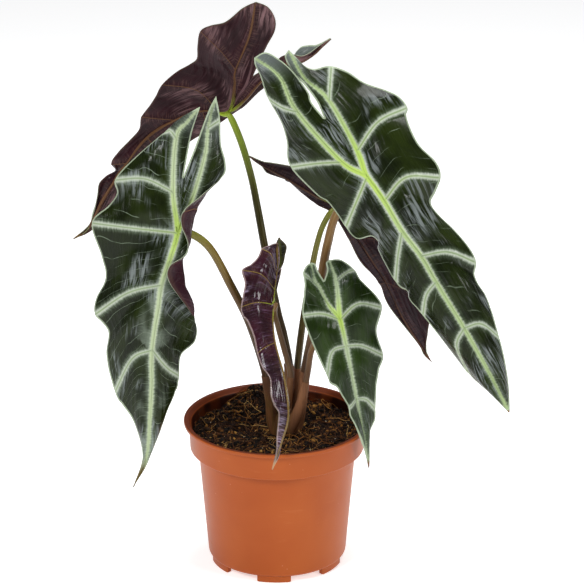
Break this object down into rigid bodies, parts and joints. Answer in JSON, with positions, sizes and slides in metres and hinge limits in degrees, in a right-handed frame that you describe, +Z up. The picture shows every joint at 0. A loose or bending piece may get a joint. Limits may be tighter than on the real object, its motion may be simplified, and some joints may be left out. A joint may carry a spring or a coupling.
{
  "type": "potted alocasia plant",
  "caption": "Potted alocasia: wavy arrow-shaped leaves with pale veins on slender stems, rooted in dark soil in a round terracotta-coloured nursery pot on small feet.",
  "frame": {"origin": "middle of the whole plant's box in X and Y, at the underside of the pot's feet", "axes": "+Z up, -Y towards the front, +X to the right as seen from the front"},
  "size_m": [0.2882, 0.1736, 0.3773],
  "materials": {
    "pot": "satin terracotta-coloured plastic",
    "soil": "dark moist peat with coir fibres",
    "crown": "brown leaf sheaths",
    "stem_right": "smooth fleshy leaf stem",
    "leaf_right": "glossy leaf, dark green above with pale veins, purple below",
    "stem_left": "smooth fleshy leaf stem",
    "leaf_left": "glossy leaf, dark green above with pale veins, purple below",
    "stem_back_left": "smooth fleshy leaf stem",
    "leaf_back_left": "glossy leaf, dark green above with pale veins, purple below",
    "stem_back_right": "smooth fleshy leaf stem",
    "leaf_back_right": "glossy leaf, dark green above with pale veins, purple below",
    "stem_small": "smooth fleshy leaf stem",
    "leaf_small": "glossy leaf, dark green above with pale veins, purple below",
    "stem_curled": "smooth fleshy leaf stem",
    "leaf_curled": "glossy leaf, dark green above with pale veins, purple below"
  },
  "bodies": {
    "root": {"pot": "pot", "soil": "soil", "crown": "crown", "stem_right": "stem_right", "leaf_right": "leaf_right", "stem_left": "stem_left", "leaf_left": "leaf_left", "stem_back_left": "stem_back_left", "leaf_back_left": "leaf_back_left", "stem_back_right": "stem_back_right", "leaf_back_right": "leaf_back_right", "stem_small": "stem_small", "leaf_small": "leaf_small", "stem_curled": "stem_curled", "leaf_curled": "leaf_curled"}
  },
  "joints": []
}
